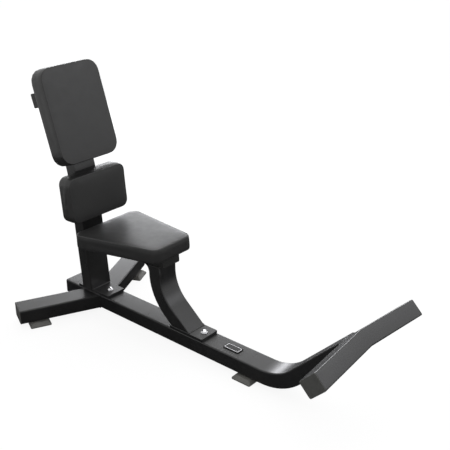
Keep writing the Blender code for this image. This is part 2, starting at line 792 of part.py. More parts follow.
def make_seat_beam():
    level = BEAM_TOP - BEAM_HEIGHT / 2
    rear = -SEAT_UNDERSIDE * math.tan(UPRIGHT_LEAN) - UPRIGHT_DEPTH / 2
    front = (SEAT_POST_CENTRE + TUBE_HEIGHT / 2 + BEAM_PAST_POST) / math.cos(SEAT_TILT)
    path = trace_path((rear, level), 0, [(front - rear, 0)])
    beam = rectangular_tube("seat_beam", path, TUBE_WIDTH, BEAM_HEIGHT, TUBE_CORNER, TUBE_WALL,
                            seat_place())
    cut(beam, box_cutter("upright_space", (-UPRIGHT_WIDTH, 0, -THROUGH * UPRIGHT_DEPTH),
                         (UPRIGHT_WIDTH, UPRIGHT_TO_KINK, GAP), lower_face()))
    tube_cap("seat_beam_cap", seat_place() @ path_end(*path[-1]), depth=BEAM_HEIGHT)


# Seat

def seat_plate_span():
    """Rear and front ends of the seat's plate, along the seat."""
    return SEAT_REAR + SEAT_PLATE_REAR_INSET, SEAT_REAR + SEAT_LENGTH - SEAT_PLATE_FRONT_INSET


def seat_screw_spots():
    """Screw places in the seat's own frame, on the plate's strips beside the beam."""
    rear, front = seat_plate_span()
    side = TUBE_WIDTH / 2 + SEAT_PLATE_SIDE / 2
    ends = (rear + SEAT_SCREW_END_INSET, front - SEAT_SCREW_END_INSET)
    return [(x, y) for x in ends for y in (-side, side)]


def seat_corners(inset):
    """The tapered outline of the seat, drawn in by an inset."""
    rear, front = SEAT_REAR_WIDTH / 2 - inset, SEAT_FRONT_WIDTH / 2 - inset
    back, nose = SEAT_REAR + inset, SEAT_REAR + SEAT_LENGTH - inset
    return [(back, -rear), (nose, -front), (nose, front), (back, rear)]


def make_seat():
    place_now = seat_place()
    rear, front = seat_plate_span()
    middle = (rear + front) / 2
    spots = seat_screw_spots()
    hole = PAD_BOLT + 2 * HOLE_CLEARANCE
    outline = rounded_rectangle(front - rear, TUBE_WIDTH + 2 * SEAT_PLATE_SIDE, TUBE_CORNER)
    holes = [circle(hole, centre=(x - middle, y)) for x, y in spots]
    plate = flat_piece("seat_plate", [outline] + holes, SEAT_PLATE_THICKNESS)
    add_part("seat_plate", plate, PAINT, place_now @ upward(middle, 0, -SEAT_PLATE_THICKNESS - GAP))
    outline = rounded_outline(seat_corners(BOARD_INSET), SEAT_CORNER, CUSHION_CORNER_STEPS)
    board = flat_piece("seat_board", [outline] + [circle(hole, centre=spot) for spot in spots],
                       SEAT_BOARD)
    add_part("seat_board", board, BOARD, place_now)
    head_level = -SEAT_PLATE_THICKNESS - 2 * GAP
    screw = bolt_mesh("seat_screw", PAD_BOLT, PAD_BOLT_HEAD, PAD_BOLT_HEAD_HEIGHT,
                      PAD_BOLT_BITE - head_level)
    add_copies("seat_screw", screw, [place_now @ downward(x, y, head_level) for x, y in spots], ZINC)
    add_cushion("seat_cushion", seat_corners(0), SEAT_CORNER, SEAT_CUSHION, SEAT_SWELL, SEAT_CROWN,
                place_now @ upward(0, 0, SEAT_BOARD + GAP))


# Cushions

def add_cushion(name, corners, corner, thickness, swell, crown, matrix):
    """A cushion on z = 0 from a coarse cage: drawn-in, swelling sides and a crowned face."""
    middle = sum((Vector(point) for point in corners), Vector((0, 0))) / len(corners)
    outline = rounded_outline(corners, corner, CUSHION_CORNER_STEPS, CUSHION_SIDE_STEPS,
                              SIDE_DRAW_IN)
    levels = [
        (0, REAR_ROUNDING, 1),
        (REAR_ROUNDING, 0, 1),
        (thickness / 2, -swell, 1),
        (thickness - EDGE_ROUNDING, 0, 1),
        (thickness, EDGE_ROUNDING, 1),
    ]
    levels += [(thickness + crown * (1 - share ** CROWN_POWER), 0, share) for share in CROWN_RINGS]
    rings = []
    for height, inset, scale in levels:
        flat = [middle + (p - middle) * scale - (p - middle).normalized() * inset for p in outline]
        rings.append([(x, y, height) for x, y in flat])
    mesh = mesh_from(stretched_rings(rings, closed=True), name)
    cushion = add_part(name, mesh, LEATHER, matrix)
    soft = cushion.modifiers.new("soft form", "SUBSURF")
    soft.levels = 1
    soft.render_levels = 1


# Backs

def lower_bolt_places():
    """Bolts of the lower back, on the upright's face and pointing out of it."""
    middle = LOWER_PAD_START + LOWER_PAD_HEIGHT / 2
    heights = (middle - LOWER_BOLT_SPACING / 2, middle + LOWER_BOLT_SPACING / 2)
    return [lower_face() @ upward(0, height, 0) for height in heights]


def upper_bolt_places():
    """Bolts of the upper back that pass through the upright."""
    first = UPPER_PAD_START + UPPER_BOLT_TO_PAD_EDGE
    return [upper_face() @ upward(0, height, 0) for height in (first, first + UPPER_BOLT_SPACING)]


def bracket_bolt_places():
    """Bolts of the upper back that pass through the bracket wings, left then right."""
    side = (UPRIGHT_WIDTH / 2 + BRACKET_REACH) / 2
    level = UPPER_PAD_START + BRACKET_TO_PAD_EDGE
    return [upper_face() @ upward(x, level, 0) for x in (side, -side)]


def make_back(prefix, face, start, height, width, corner, swell, bolts):
    """A board with its holes and its cushion, on one face of the upright."""
    frame = face @ upward(0, start + height / 2, GAP)
    hole = PAD_BOLT + 2 * HOLE_CLEARANCE
    spots = [frame.inverted() @ bolt.translation for bolt in bolts]
    size = rectangle(width - 2 * BOARD_INSET, height - 2 * BOARD_INSET)
    outline = rounded_outline(size, corner, CUSHION_CORNER_STEPS)
    holes = [circle(hole, centre=(spot.x, spot.y)) for spot in spots]
    board = flat_piece(prefix + "_board", [outline] + holes, BACK_BOARD)
    add_part(prefix + "_board", board, BOARD, frame)
    add_cushion(prefix + "_cushion", rectangle(width, height), corner, BACK_CUSHION, swell,
                BACK_CROWN, frame @ upward(0, 0, BACK_BOARD + GAP))


def make_back_bolts(name, bolts, depth):
    """Bolts from behind a tube of the given depth into a board."""
    shank = depth + 2 * GAP + PAD_BOLT_BITE
    bolt = bolt_mesh(name, PAD_BOLT, PAD_BOLT_HEAD, PAD_BOLT_HEAD_HEIGHT, shank)
    add_copies(name, bolt, [spot @ downward(0, 0, -depth - GAP) for spot in bolts], ZINC)


def make_backs():
    make_back("lower_back", lower_face(), LOWER_PAD_START, LOWER_PAD_HEIGHT, LOWER_PAD_WIDTH,
              LOWER_PAD_CORNER, LOWER_PAD_SWELL, lower_bolt_places())
    make_back("upper_back", upper_face(), UPPER_PAD_START, UPPER_PAD_HEIGHT, UPPER_PAD_WIDTH,
              UPPER_PAD_CORNER, UPPER_PAD_SWELL, upper_bolt_places() + bracket_bolt_places())
    make_back_bolts("lower_back_bolt", lower_bolt_places(), UPRIGHT_DEPTH)
    make_back_bolts("upper_back_bolt", upper_bolt_places(), UPRIGHT_DEPTH)
    make_back_bolts("bracket_bolt", bracket_bolt_places(), BRACKET_DEPTH)


def make_bracket(prefix, side):
    """A box-tube wing on the upright's side, its front flush with the upright's face."""
    level = UPPER_PAD_START + BRACKET_TO_PAD_EDGE
    start = UPRIGHT_WIDTH / 2 + GAP
    path = trace_path((start, 0), 0, [(BRACKET_REACH - start, 0)])
    frame = upper_face() @ upward(0, level, -BRACKET_DEPTH / 2)
    if side < 0:
        frame = frame @ Matrix.Rotation(math.pi, 4, "Z")
    name = prefix + "_pad_bracket"
    wing = rectangular_tube(name, path, BRACKET_HEIGHT, BRACKET_DEPTH, BRACKET_CORNER, BRACKET_WALL,
                            frame)
    drill(wing, PAD_BOLT + 2 * HOLE_CLEARANCE, THROUGH * BRACKET_DEPTH, bracket_bolt_places())
    tube_cap(prefix + "_bracket_cap", frame @ path_end(*path[-1]), BRACKET_HEIGHT, BRACKET_DEPTH,
             BRACKET_CORNER, BRACKET_WALL)


# Badge

def make_badge():
    """A bare plate with a raised rim, on the rail before the seat post's flange."""
    floor_length, floor_width = BADGE_LENGTH - 2 * BADGE_RIM, BADGE_WIDTH - 2 * BADGE_RIM
    floor_corner = BADGE_CORNER / 2
    edge = 2 * BADGE_EDGE
    levels = [
        (0, BADGE_LENGTH, BADGE_WIDTH, BADGE_CORNER),
        (BADGE_HEIGHT - BADGE_EDGE, BADGE_LENGTH, BADGE_WIDTH, BADGE_CORNER),
        (BADGE_HEIGHT, BADGE_LENGTH - edge, BADGE_WIDTH - edge, BADGE_CORNER),
        (BADGE_HEIGHT, floor_length, floor_width, floor_corner),
        (BADGE_HEIGHT - BADGE_EDGE, floor_length - edge, floor_width - edge, floor_corner),
    ]
    middle = seat_flange_span()[1] + BADGE_FROM_FLANGE + BADGE_LENGTH / 2
    add_part("badge_plate", stacked_piece("badge_plate", levels), BADGE,
             upward(middle, 0, RAIL_TOP + GAP))


def centre_footprint():
    """Move the bench so that the middle of its box lies over the origin, on the floor."""
    graph = bpy.context.evaluated_depsgraph_get()
    lengths = []
    for part in PARTS.objects:
        if part.type == "MESH":
            solid = part.evaluated_get(graph)
            lengths += [(solid.matrix_world @ vert.co).x for vert in solid.data.vertices]
    FRAME.location.x = -(min(lengths) + max(lengths)) / 2


make_rail()
make_foot_bar()
make_arm("left", 1)
make_arm("right", -1)
make_feet()
make_flanges()
make_upright()
make_seat_post()
make_gusset()
make_seat_beam()
make_seat()
make_backs()
make_bracket("left", 1)
make_bracket("right", -1)
make_badge()
centre_footprint()
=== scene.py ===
"""Finish of an incline bench: painted tubes, wrapped cushions, fittings and a pale studio. Metres, Z up."""

import math

import bpy
from mathutils import Matrix, Vector, geometry
from mathutils.bvhtree import BVHTree


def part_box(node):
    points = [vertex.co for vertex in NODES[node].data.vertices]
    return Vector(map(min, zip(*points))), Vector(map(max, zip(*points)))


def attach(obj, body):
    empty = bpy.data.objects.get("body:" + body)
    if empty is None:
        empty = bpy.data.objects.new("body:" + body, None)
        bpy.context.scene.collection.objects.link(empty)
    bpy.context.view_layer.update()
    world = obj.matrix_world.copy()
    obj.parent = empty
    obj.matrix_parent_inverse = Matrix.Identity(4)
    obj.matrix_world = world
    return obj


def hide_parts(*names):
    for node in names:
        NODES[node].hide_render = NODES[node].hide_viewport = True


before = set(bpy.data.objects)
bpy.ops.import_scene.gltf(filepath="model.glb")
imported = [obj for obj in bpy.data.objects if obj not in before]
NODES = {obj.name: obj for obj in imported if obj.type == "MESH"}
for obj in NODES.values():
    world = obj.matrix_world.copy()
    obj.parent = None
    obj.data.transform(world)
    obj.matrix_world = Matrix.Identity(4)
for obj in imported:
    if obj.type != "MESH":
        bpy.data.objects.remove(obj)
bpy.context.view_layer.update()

# Leans of the bench's faces
LOWER_LEAN = math.radians(5)
UPPER_LEAN = math.radians(17.5)
SEAT_TILT = math.radians(3.3)

# Tolerances
MERGE_WITHIN = 0.00002
SAME_PLACE = 0.00001
END_FACE = 0.00005
FLAT_WITHIN = math.radians(0.5)

# Rounding of edges
SHARP_EDGE = math.radians(40)
PLATE_EDGE = 0.0010
CAP_EDGE = 0.0006
FOOT_EDGE = 0.0008
RING_EDGE = 0.0004
TRIM_EDGE = 0.0003
ENAMEL_EDGE = 0.0001

# Creases that stay sharp in smooth shading, in degrees
TUBE_CREASE = 32
FASTENER_CREASE = 35
PLATE_CREASE = 40
MOULDING_CREASE = 50
BEAD_CREASE = 70
NO_CREASE = 180

# Weld beads
BEAD_RADIUS = 0.0030
BRACKET_BEAD_RADIUS = 0.0022
BEAD_PITCH = 0.0046
BEAD_DIP = 0.84  # share of the radius between two ripples
JOINT_REACH = 0.0032  # a tube's end lies this near to its neighbour

# Fasteners
BOLT_SIDES = 48
FLANGE_BOLT = 0.012
FLANGE_BOLT_HEAD = 0.022
FLANGE_BOLT_DOME = 0.009
DOME_TOP = 0.0008
PAD_BOLT = 0.008
PAD_BOLT_HEAD = 0.014
PAD_BOLT_DOME = 0.005
DOME_RINGS = 8
HEAD_RIM = 0.0012
HEAD_CHAMFER = 0.0003
TIP_CHAMFER = 0.0008
SOCKET_RADIUS = 0.0029
SOCKET_DEPTH = 0.0026
SOCKET_LIP = 0.0005
SOCKET_CHAMFER = 0.0003
HEXAGON_SIDE = math.radians(60)

# Badge: a holder, a rim let into it, and an enamel field in the rim's recess
RIM_INSET = 0.0044
RIM_WIDTH = 0.0020
RIM_HEIGHT = 0.0016
RIM_CORNER = 0.0045
RECESS_DEPTH = 0.0008
RECESS_DROP = 0.0004
FIELD_LIFT = 0.0007
FIELD_HEIGHT = 0.0004
FIELD_CORNER = 0.0024
FIELD_GAP = 0.0002
CORNER_SEGMENTS = 6

# Cushions
BACK_BOARD = 0.015
SEAT_BOARD = 0.012
BOARD_HOLD = 0.018  # height above the board up to which it holds the cover
SLACK = 0.0008
VOXEL = 0.005
STUFFING_PRESSURE = 4.0
STUFFING_FRAMES = 20
STUFFING_GIVE = 0.0014
CROWN = 0.006
CROWN_LEFT = 0.4  # share of the crown's rise that is left
COVER_PROUD = 0.0004  # how far the cover's sides stand out past the cushion's
EDGE_PINCH = 0.0018
PINCH_SHARPNESS = 3
PLEAT_DEPTH = 0.0007
PLEAT_REACH = 0.6  # share of the cushion's depth, from behind, that is pleated
PLEATS_PER_TURN = 36

# Cover behind the boards
BACK_STEP = 0.001  # the vinyl's margin lies this far in front of the board's back face
CLOTH_SUNK = 0.0002  # and the cloth this far
MARGIN_WIDTH = 0.024
CLOTH_THICKNESS = 0.0008
STAPLE_MARGIN = 0.012
STAPLE_PITCH = 0.028
STAPLE_SIZE = (0.0105, 0.0013, 0.0008)

# Studio
FLOOR_SIZE = 60
FLOOR_DROP = 0.0005
FLOOR_BOUNCE = 0.86
FLOOR_SEEN = 0.13
FLOOR_LIFT = 0.90
SKY_LEVEL = 0.62
SKY_SEEN = 1.0
OVERHEAD_FROM = (-0.22, 0.30, 0.93)
OVERHEAD_STRENGTH = 0.75
OVERHEAD_WIDTH = math.radians(66)
REAR_SOFTBOX = (-2.5, 2.9, 0.72)
REAR_SOFTBOX_AIM = (-0.3, 0.0, 0.45)
REAR_SOFTBOX_SIZE = (3.4, 1.15)
REAR_SOFTBOX_POWER = 68
SIDE_SOFTBOX = (2.9, 2.6, 2.9)
SIDE_SOFTBOX_AIM = (0.2, 0.0, 0.3)
SIDE_SOFTBOX_SIZE = (2.0, 1.7)
SIDE_SOFTBOX_POWER = 19
DAYLIGHT = (0.95, 0.96, 1.0)
# Black card on the floor, seen only in reflections: painted shadow on the floor that the steel reflects
CARD_SIZE = 4.4
CARD_LIFT = 0.0003
REFLECTED_SHADOW_TONE = 0.05

# Camera, as the photograph was taken
CAMERA_PLACE = Vector((2.0128, -2.1995, 1.9065))
CAMERA_AIM = Vector((0.1409, 0.0, 0.6206))
LENS = 66.1
SENSOR = 36.0
FAR_CLIP = 100


# Small tools

def deselect():
    if bpy.context.mode != "OBJECT":
        bpy.ops.object.mode_set(mode="OBJECT")
    bpy.ops.object.select_all(action="DESELECT")


def take(piece):
    """Make a piece the only selected one, and the active one."""
    deselect()
    piece.select_set(True)
    bpy.context.view_layer.objects.active = piece
    return piece


def edit(piece):
    """Open a piece in edit mode, all of it selected."""
    take(piece)
    bpy.ops.object.mode_set(mode="EDIT")
    bpy.ops.mesh.select_all(action="SELECT")


def close_edit():
    bpy.ops.object.mode_set(mode="OBJECT")


def settle(piece, matrix=Matrix()):
    """Put a piece in its place, and its place in its mesh."""
    take(piece)
    piece.matrix_world = matrix @ piece.matrix_world
    bpy.ops.object.transform_apply(location=True, rotation=True, scale=True)
    return piece


def add_object(name, data):
    item = bpy.data.objects.new(name, data)
    bpy.context.scene.collection.objects.link(item)
    return item


def join(pieces):
    """Make some pieces one piece, under the first one's name."""
    deselect()
    for piece in pieces:
        piece.select_set(True)
    bpy.context.view_layer.objects.active = pieces[0]
    if len(pieces) > 1:
        bpy.ops.object.join()
    return take(bpy.context.view_layer.objects.active)


def apply_modifier(piece, kind, **settings):
    take(piece)
    modifier = piece.modifiers.new(kind.lower(), kind)
    for name, value in settings.items():
        setattr(modifier, name, value)
    bpy.ops.object.modifier_apply(modifier=modifier.name)


def round_edges(piece, width):
    apply_modifier(piece, "BEVEL", width=width, segments=2, limit_method="ANGLE", angle_limit=SHARP_EDGE)


def smooth(piece, crease):
    take(piece)
    bpy.ops.object.shade_smooth_by_angle(angle=math.radians(crease))


def smooth_flats(piece, crease):
    """Smooth shading that leaves the flat faces flat."""
    smooth(piece, crease)
    apply_modifier(piece, "WEIGHTED_NORMAL", keep_sharp=True)


def clear_flats(piece):
    """Make the triangles of each flat face one face."""
    edit(piece)
    bpy.ops.mesh.dissolve_limited(angle_limit=FLAT_WITHIN)
    close_edit()


def finish_piece(piece, finish, slot, *replaced):
    """Give a piece its finish and its place on the bench."""
    piece.data.materials.clear()
    piece.data.materials.append(finish)
    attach(piece, "root")
    if replaced:
        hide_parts(*replaced)


def joined_copy(name, nodes):
    """The surfaces of some nodes as one mesh object, their loose triangles merged."""
    piece = join([add_object(name, NODES[node].data.copy()) for node in nodes])
    piece.name = name
    edit(piece)
    bpy.ops.mesh.remove_doubles(threshold=MERGE_WITHIN)
    close_edit()
    return piece


# Finishes

class Finish:
    """A material with its nodes, built in a few plain steps."""

    def __init__(self, name, colour, roughness, metallic=0.0, **uniform):
        self.material = bpy.data.materials.new(name)
        self.material.use_nodes = True
        self.tree = self.material.node_tree
        self.shader = self.tree.nodes["Principled BSDF"]
        self.shader.inputs["Base Color"].default_value = (*colour, 1)
        self.shader.inputs["Roughness"].default_value = roughness
        self.shader.inputs["Metallic"].default_value = metallic
        for socket, value in uniform.items():
            self.shader.inputs[socket.replace("_", " ")].default_value = value
        self.place = self.tree.nodes.new("ShaderNodeTexCoord").outputs["Object"]

    def node(self, kind, **inputs):
        """A node with its inputs linked or set. An underscore stands for a space in their names."""
        node = self.tree.nodes.new(kind)
        for name, value in inputs.items():
            self.feed(node.inputs[name.replace("_", " ")], value)
        return node

    def feed(self, socket, value):
        if isinstance(value, bpy.types.NodeSocket):
            self.tree.links.new(value, socket)
        else:
            socket.default_value = value

    def noise(self, scale, detail=3.0, rough=0.5, place=None):
        node = self.node("ShaderNodeTexNoise", Vector=place or self.place, Scale=scale, Detail=detail,
                         Roughness=rough)
        return node.outputs["Fac"]

    def cells(self, scale, feature="F1"):
        node = self.node("ShaderNodeTexVoronoi", Vector=self.place, Scale=scale)
        node.feature = feature
        return node.outputs["Distance"]

    def stretched(self, scale):
        return self.node("ShaderNodeMapping", Vector=self.place, Scale=scale).outputs["Vector"]

    def between(self, noise, low, high, start=0.3, end=0.7):
        """Map a noise's range onto low to high."""
        node = self.node("ShaderNodeMapRange", Value=noise, From_Min=start, From_Max=end,
                         To_Min=low, To_Max=high)
        return node.outputs["Result"]

    def tones(self, noise, first, second, start=0.3, end=0.7):
        """Colour that drifts between two tones with a noise."""
        mix = self.tree.nodes.new("ShaderNodeMix")
        mix.data_type = "RGBA"
        factor, tone_a, tone_b = mix.inputs[0], mix.inputs[6], mix.inputs[7]
        self.feed(factor, self.between(noise, 0.0, 1.0, start, end))
        self.feed(tone_a, (*first, 1))
        self.feed(tone_b, (*second, 1))
        self.feed(self.shader.inputs["Base Color"], mix.outputs[2])

    def roughness(self, noise, low, high):
        """Roughness that drifts between two values with a noise."""
        self.feed(self.shader.inputs["Roughness"], self.between(noise, low, high))

    def relief(self, *layers):
        """Stack bumps of (height socket, depth in metres, strength)."""
        normal = None
        for height, depth, strength in layers:
            bump = self.node("ShaderNodeBump", Height=height, Distance=depth, Strength=strength)
            if normal:
                self.feed(bump.inputs["Normal"], normal)
            normal = bump.outputs["Normal"]
        self.feed(self.shader.inputs["Normal"], normal)
        return self.material


def powder_coat():
    """Satin black powder coat: faint orange peel, a breath of dust and fine rub marks."""
    paint = Finish("black_powder_coat", (0.013, 0.013, 0.0135), 0.31, IOR=1.5)
    paint.tones(paint.noise(9.0, 4.0), (0.0120, 0.0120, 0.0124), (0.0165, 0.0163, 0.0160), 0.45, 0.75)
    rubbed = paint.noise(28.0, 5.0, 0.62, paint.stretched((1.0, 0.25, 1.0)))
    paint.roughness(rubbed, 0.27, 0.34)
    orange_peel = (paint.noise(230.0, 2.0), 0.00008, 0.05)
    grain = (paint.noise(1500.0, 1.0), 0.00003, 0.06)
    return paint.relief(orange_peel, grain)


def leatherette():
    """Black upholstery vinyl: pebbled grain, soft sheen and slight handling marks."""
    vinyl = Finish("black_leatherette", (0.013, 0.013, 0.0133), 0.42, IOR=1.48)
    vinyl.tones(vinyl.noise(7.0, 4.0), (0.0120, 0.0120, 0.0123), (0.0150, 0.0149, 0.0147))
    vinyl.roughness(vinyl.noise(34.0, 5.0), 0.38, 0.45)
    pebbles = (vinyl.cells(900.0, "SMOOTH_F1"), 0.00014, 0.16)
    creases = (vinyl.noise(620.0, 4.0, 0.6), 0.00012, 0.14)
    return vinyl.relief(pebbles, creases)


def moulded_plastic(name, tone):
    """Dark moulded plastic with a spark-eroded texture."""
    low, high = 0.9 * tone, 1.08 * tone
    plastic = Finish(name, (tone, tone, 0.94 * tone), 0.58, IOR=1.46)
    plastic.tones(plastic.noise(40.0, 3.0), (low, low, 0.94 * low), (high, high, 0.94 * high))
    plastic.roughness(plastic.noise(160.0, 3.0), 0.50, 0.64)
    return plastic.relief((plastic.noise(1300.0, 2.0), 0.00008, 0.35))


def foot_rubber():
    """Dark grey rubber with a dusty bloom."""
    rubber = Finish("foot_rubber", (0.110, 0.108, 0.102), 0.55, IOR=1.48)
    rubber.tones(rubber.noise(30.0, 5.0), (0.097, 0.095, 0.089), (0.140, 0.137, 0.128))
    rubber.roughness(rubber.noise(90.0, 3.0), 0.48, 0.62)
    return rubber.relief((rubber.noise(700.0, 3.0), 0.00012, 0.40))


def chrome():
    """Bright chrome with hairline polish marks."""
    plate = Finish("bright_chrome", (0.86, 0.86, 0.88), 0.10, 1.0)
    plate.tones(plate.noise(60.0, 2.0), (0.84, 0.84, 0.86), (0.90, 0.90, 0.92))
    plate.roughness(plate.noise(300.0, 4.0, 0.6, plate.stretched((1.0, 6.0, 1.0))), 0.06, 0.16)
    return plate.relief((plate.noise(900.0, 2.0), 0.00002, 0.10))


def zinc():
    """Zinc-plated steel with a clouded, slightly dull face."""
    plate = Finish("zinc_plate", (0.50, 0.50, 0.51), 0.35, 1.0)
    plate.tones(plate.noise(180.0, 4.0), (0.42, 0.42, 0.43), (0.58, 0.58, 0.59))
    plate.roughness(plate.noise(240.0, 3.0), 0.28, 0.46)
    return plate.relief((plate.noise(1100.0, 2.0), 0.00004, 0.25))


def dust_cover():
    """Black non-woven cover cloth behind the boards."""
    cloth = Finish("board_cover_cloth", (0.014, 0.014, 0.014), 0.92, IOR=1.4)
    fibres = cloth.noise(1400.0, 4.0, 0.7)
    cloth.tones(fibres, (0.008, 0.008, 0.008), (0.018, 0.018, 0.018))
    cloth.roughness(cloth.noise(300.0, 2.0), 0.85, 0.97)
    return cloth.relief((cloth.cells(1000.0), 0.00010, 0.45), (fibres, 0.00008, 0.35))


def badge_body():
    """Fine-textured black plastic of the badge's holder."""
    body = Finish("badge_body", (0.007, 0.007, 0.0072), 0.80, IOR=1.3)
    body.tones(body.noise(70.0, 3.0), (0.0060, 0.0060, 0.0063), (0.0090, 0.0090, 0.0093))
    body.roughness(body.noise(400.0, 2.0), 0.72, 0.86)
    return body.relief((body.noise(1600.0, 2.0), 0.00006, 0.30))


def badge_rim():
    """Bright satin metal of the badge's rim."""
    rim = Finish("badge_rim_metal", (0.72, 0.72, 0.74), 0.26, 1.0)
    rim.tones(rim.noise(150.0, 3.0), (0.68, 0.68, 0.70), (0.76, 0.76, 0.78))
    rim.roughness(rim.noise(420.0, 3.0), 0.20, 0.32)
    return rim.relief((rim.noise(1200.0, 2.0), 0.00002, 0.15))


def badge_field():
    """Glossy black enamel in the badge's rim."""
    enamel = Finish("badge_enamel", (0.010, 0.010, 0.011), 0.18, IOR=1.45)
    enamel.tones(enamel.noise(120.0, 3.0), (0.008, 0.008, 0.009), (0.014, 0.014, 0.015))
    enamel.roughness(enamel.noise(500.0, 3.0), 0.12, 0.26)
    return enamel.relief((enamel.noise(800.0, 1.0), 0.00002, 0.12))


PAINT = powder_coat()
VINYL = leatherette()
GREY_PLASTIC = moulded_plastic("grey_cap_plastic", 0.058)
# Painted shade: a darker copy of the cap plastic, for the caps that sit in shade under the seat and behind
# the back pads
SHADED_CAP_PLASTIC = moulded_plastic("shaded_cap_plastic", 0.010)
RUBBER = foot_rubber()
CHROME = chrome()
ZINC = zinc()
COVER_CLOTH = dust_cover()
BADGE_BLACK = badge_body()
BADGE_RIM = badge_rim()
ENAMEL = badge_field()


# Steel, caps and feet

TUBES = ("main_rail", "footrest_bar", "left_rear_arm", "right_rear_arm", "upright_post", "seat_post",
         "seat_beam", "left_pad_bracket", "right_pad_bracket")
PLATES = ("upright_flange", "seat_post_flange", "seat_post_gusset", "seat_plate")
GREY_CAPS = ("rail_rear_cap", "left_arm_cap", "right_arm_cap", "left_footrest_cap", "right_footrest_cap")
# Caps that sit in shade under the seat and behind the back pads; their darker plastic is painted shade
CAPS_IN_SHADE = ("seat_beam_cap", "upright_top_cap", "left_bracket_cap", "right_bracket_cap")
FEET = ("front_foot", "left_rear_foot", "right_rear_foot")


def finish_tubes():
    """The tubes keep the round corners that they have."""
    for node in TUBES:
        piece = joined_copy(node + "_painted", [node])
        smooth_flats(piece, TUBE_CREASE)
        finish_piece(piece, PAINT, "black_paint", node)


def finish_rounded(name, node, edge, crease, finish, slot):
    """A node's shape with its edges rounded."""
    piece = joined_copy(name, [node])
    clear_flats(piece)
    round_edges(piece, edge)
    smooth_flats(piece, crease)
    finish_piece(piece, finish, slot, node)


def finish_plates():
    for node in PLATES:
        finish_rounded(node + "_painted", node, PLATE_EDGE, PLATE_CREASE, PAINT, "black_paint")


def finish_mouldings():
    for node in GREY_CAPS:
        finish_rounded(node + "_moulding", node, CAP_EDGE, MOULDING_CREASE, GREY_PLASTIC, "cap_plastic")
    # The caps in shade get the darker copy of the plastic: painted shade
    for node in CAPS_IN_SHADE:
        finish_rounded(node + "_moulding", node, CAP_EDGE, MOULDING_CREASE, SHADED_CAP_PLASTIC, "cap_plastic")
    for node in FEET:
        finish_rounded(node + "_moulding", node, FOOT_EDGE, MOULDING_CREASE, RUBBER, "foot_rubber")


# Weld beads

def surface_of(node):
    mesh = NODES[node].data
    spots = [vert.co for vert in mesh.vertices]
    faces = [tuple(face.vertices) for face in mesh.polygons]
    return BVHTree.FromPolygons(spots, faces)


def joint_loop(node, neighbour, axis):
    """Outline of a tube's end where it meets its neighbour, seen along the axis."""
    surface = surface_of(neighbour)
    side = axis.orthogonal().normalized()
    across = axis.cross(side)
    spots = [vert.co.copy() for vert in NODES[node].data.vertices]
    near = [spot for spot in spots if surface.find_nearest(spot)[3] < JOINT_REACH]
    flat = [(spot.dot(side), spot.dot(across)) for spot in near]
    return [near[index] for index in geometry.convex_hull_2d(flat)]


def even_steps(loop, pitch):
    """An even number of points along a closed loop, as near to the pitch as they come out."""
    ends = loop[1:] + loop[:1]
    lengths = [(end - start).length for start, end in zip(loop, ends)]
    count = 2 * max(4, round(sum(lengths) / pitch / 2))
    step = sum(lengths) / count
    points = []
    passed = 0.0
    for start, end, length in zip(loop, ends, lengths):
        while len(points) * step < passed + length and len(points) < count:
            share = (len(points) * step - passed) / length
            points.append(start.lerp(end, share))
        passed += length
    return points


def weld(node, neighbour, axis, radius=BEAD_RADIUS):
    """A rippled bead round a tube's end."""
    points = even_steps(joint_loop(node, neighbour, Vector(axis).normalized()), BEAD_PITCH / 2)
    name = f"{node}_to_{neighbour}_weld"
    path = bpy.data.curves.new(name, "CURVE")
    path.dimensions = "3D"
    path.bevel_depth = radius
    path.bevel_resolution = 1
    spline = path.splines.new("POLY")
    spline.points.add(len(points) - 1)
    spline.use_cyclic_u = True
    for number, (knot, place) in enumerate(zip(spline.points, points)):
        knot.co = (*place, 1)
        knot.radius = 1.0 if number % 2 else BEAD_DIP
    take(add_object(name, path))
    bpy.ops.object.convert(target="MESH")
    bead = bpy.context.object
    smooth(bead, BEAD_CREASE)
    finish_piece(bead, PAINT, "black_paint")


def make_welds():
    seat_up = (-math.sin(SEAT_TILT), 0, math.cos(SEAT_TILT))
    upright_out = (math.cos(LOWER_LEAN), 0, math.sin(LOWER_LEAN))
    weld("upright_post", "upright_flange", (0, 0, 1))
    weld("seat_post", "seat_post_flange", (0, 0, 1))
    weld("seat_post", "seat_beam", seat_up)
    weld("seat_beam", "upright_post", upright_out)
    weld("left_rear_arm", "main_rail", (0, 1, 0))
    weld("right_rear_arm", "main_rail", (0, 1, 0))
    weld("main_rail", "footrest_bar", (1, 0, 1))
    weld("left_pad_bracket", "upright_post", (0, 1, 0), BRACKET_BEAD_RADIUS)
    weld("right_pad_bracket", "upright_post", (0, 1, 0), BRACKET_BEAD_RADIUS)


# Bolts, washers and nuts

def head_frame(node, direction):
    """Frame at a node's end in a direction, its Z that way, and the node's length along it."""
    direction = Vector(direction).normalized()
    spots = [vert.co for vert in NODES[node].data.vertices]
    reach = [spot.dot(direction) for spot in spots]
    end = [spot for spot, far in zip(spots, reach) if max(reach) - far < END_FACE]
    matrix = direction.to_track_quat("Z", "Y").to_matrix().to_4x4()
    matrix.translation = sum(end, Vector()) / len(end)
    return matrix, max(reach) - min(reach)


def turned(profile):
    """A solid turned from a bar: a disc drawn up through rings of (radius, height)."""
    deselect()
    radius, height = profile[0]
    bpy.ops.mesh.primitive_circle_add(vertices=BOLT_SIDES, radius=radius, fill_type="NGON",
                                      location=(0, 0, height))
    piece = settle(bpy.context.object)
    edit(piece)
    for (old, low), (new, high) in zip(profile, profile[1:]):
        bpy.ops.mesh.extrude_region_move(TRANSFORM_OT_translate={"value": (0, 0, high - low)})
        bpy.ops.transform.resize(value=(new / old, new / old, 1), center_override=(0, 0, high))
    bpy.ops.mesh.select_all(action="SELECT")
    bpy.ops.mesh.normals_make_consistent(inside=False)
    close_edit()
    return piece


